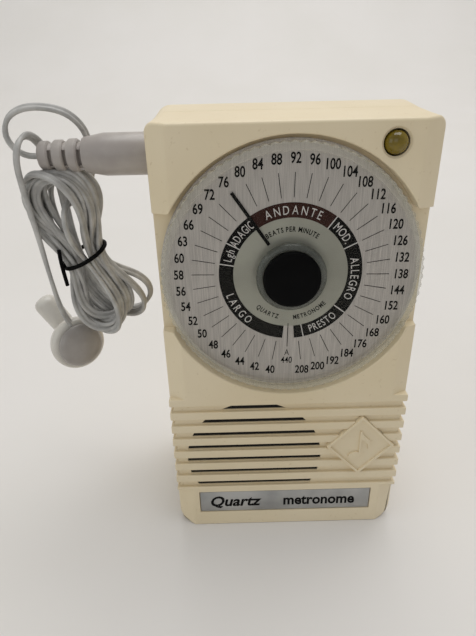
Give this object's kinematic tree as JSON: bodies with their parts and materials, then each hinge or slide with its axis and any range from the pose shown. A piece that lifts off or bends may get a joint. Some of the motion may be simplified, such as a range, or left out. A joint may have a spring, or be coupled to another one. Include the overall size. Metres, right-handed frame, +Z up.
{
  "type": "metronome",
  "caption": "Pocket quartz metronome: wedge-shaped plastic case, clear turning tempo dial, lamp, speaker slots, and an earphone on a tied lead.",
  "frame": {"origin": "centre of the case's footprint on the surface it stands on", "axes": "+Z up, -Y towards the player: the dial looks towards -Y and the earphone jack is on the -X side"},
  "size_m": [0.1039, 0.039, 0.1158],
  "materials": {
    "case_plastic": "fine satin moulded cream plastic",
    "clear_plastic": "polished clear acrylic",
    "black_plastic": "smooth black",
    "grey_plastic": "semi-gloss warm grey moulding",
    "grey_cable": "soft grey twin lead",
    "lamp_amber": "tinted clear epoxy",
    "scale_print": "silver print with black and white lettering",
    "silver_foil": "silver foil with black lettering",
    "screw_steel": "zinc plated",
    "bright_metal": "nickel plated",
    "board_green": "solder mask",
    "cone_paper": "doped black paper",
    "battery_case": "printed metal jacket"
  },
  "bodies": {
    "case": {"front_shell": "case_plastic", "rear_shell": "case_plastic", "emblem_tile": "case_plastic", "case_screw_1": "screw_steel", "case_screw_2": "screw_steel", "case_screw_3": "screw_steel", "case_screw_4": "screw_steel", "scale_plate": "scale_print", "name_plate": "silver_foil", "tempo_switch_body": "black_plastic", "lamp": "lamp_amber", "lamp_leg_1": "bright_metal", "lamp_leg_2": "bright_metal", "speaker_basket": "screw_steel", "speaker_cone": "cone_paper", "speaker_magnet": "screw_steel", "main_board": "board_green", "board_screw_1": "screw_steel", "board_screw_2": "screw_steel", "board_screw_3": "screw_steel", "board_screw_4": "screw_steel", "timer_chip": "black_plastic", "quartz_crystal": "bright_metal", "filter_capacitor": "black_plastic", "tone_transistor": "black_plastic", "resistor_1": "board_green", "resistor_2": "board_green", "resistor_3": "board_green", "resistor_4": "board_green", "battery": "battery_case", "battery_stud_1": "bright_metal", "battery_stud_2": "bright_metal", "battery_clip": "black_plastic", "earphone_jack": "black_plastic", "mode_switch_body": "screw_steel"},
    "dial": {"dial_wheel": "clear_plastic", "hub_cap": "black_plastic", "dial_shaft": "screw_steel"},
    "door": {"battery_door": "case_plastic"},
    "mode_knob": {"mode_switch_knob": "black_plastic"},
    "earphone_set": {"plug_pin": "bright_metal", "plug_body": "grey_plastic", "strain_relief": "grey_plastic", "cord_loop": "grey_cable", "cord_hank": "grey_cable", "cord_tie": "black_plastic", "cord_drop": "grey_cable", "earphone_cap": "grey_plastic", "earphone_shell": "grey_plastic", "earphone_ear_tube": "grey_plastic"}
  },
  "joints": [
    {"name": "dial_turn", "type": "hinge", "parent": "case", "child": "dial", "pos_m": [0, -0.00497, 0.07824], "axis": [0, -0.9903, 0.1392], "continuous": true},
    {"name": "door_swing", "type": "hinge", "parent": "case", "child": "door", "pos_m": [0, 0.0186, 0.0041], "axis": [-1, 0, 0], "range_deg": [0, 90]},
    {"name": "mode_slide", "type": "slide", "parent": "case", "child": "mode_knob", "axis": [0, 0, 1], "range_m": [0, 0.005]},
    {"name": "plug_pull", "type": "slide", "parent": "case", "child": "earphone_set", "axis": [-1, 0, 0], "range_m": [0, 0.018]}
  ]
}
